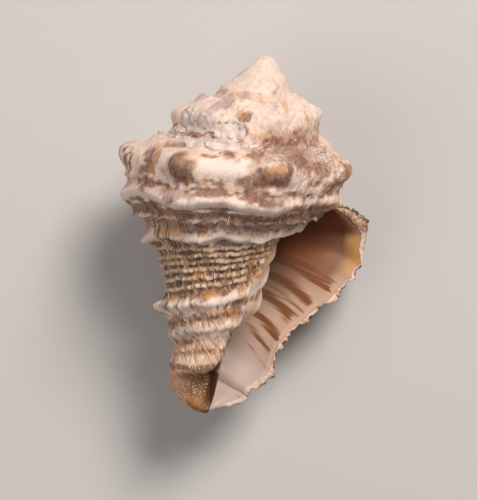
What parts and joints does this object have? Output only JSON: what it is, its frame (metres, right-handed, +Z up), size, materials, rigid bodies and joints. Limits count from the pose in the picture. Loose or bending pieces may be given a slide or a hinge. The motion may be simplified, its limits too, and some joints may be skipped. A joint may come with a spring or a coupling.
{
  "type": "vase_shell",
  "caption": "Sea-worn vase shell lying on its back with its long mouth turned up, a worn cone-shaped spire and knobbed, ribbed whorls",
  "frame": {"origin": "centre of the bottom of the shell's box, on the surface that it rests on", "axes": "+Z up out of the mouth; +Y along the shell's length towards the apex; +X towards the flared lip"},
  "size_m": [0.054, 0.0742, 0.0498],
  "materials": {
    "shell": "matte"
  },
  "bodies": {
    "root": {"shell": "shell"}
  },
  "joints": []
}
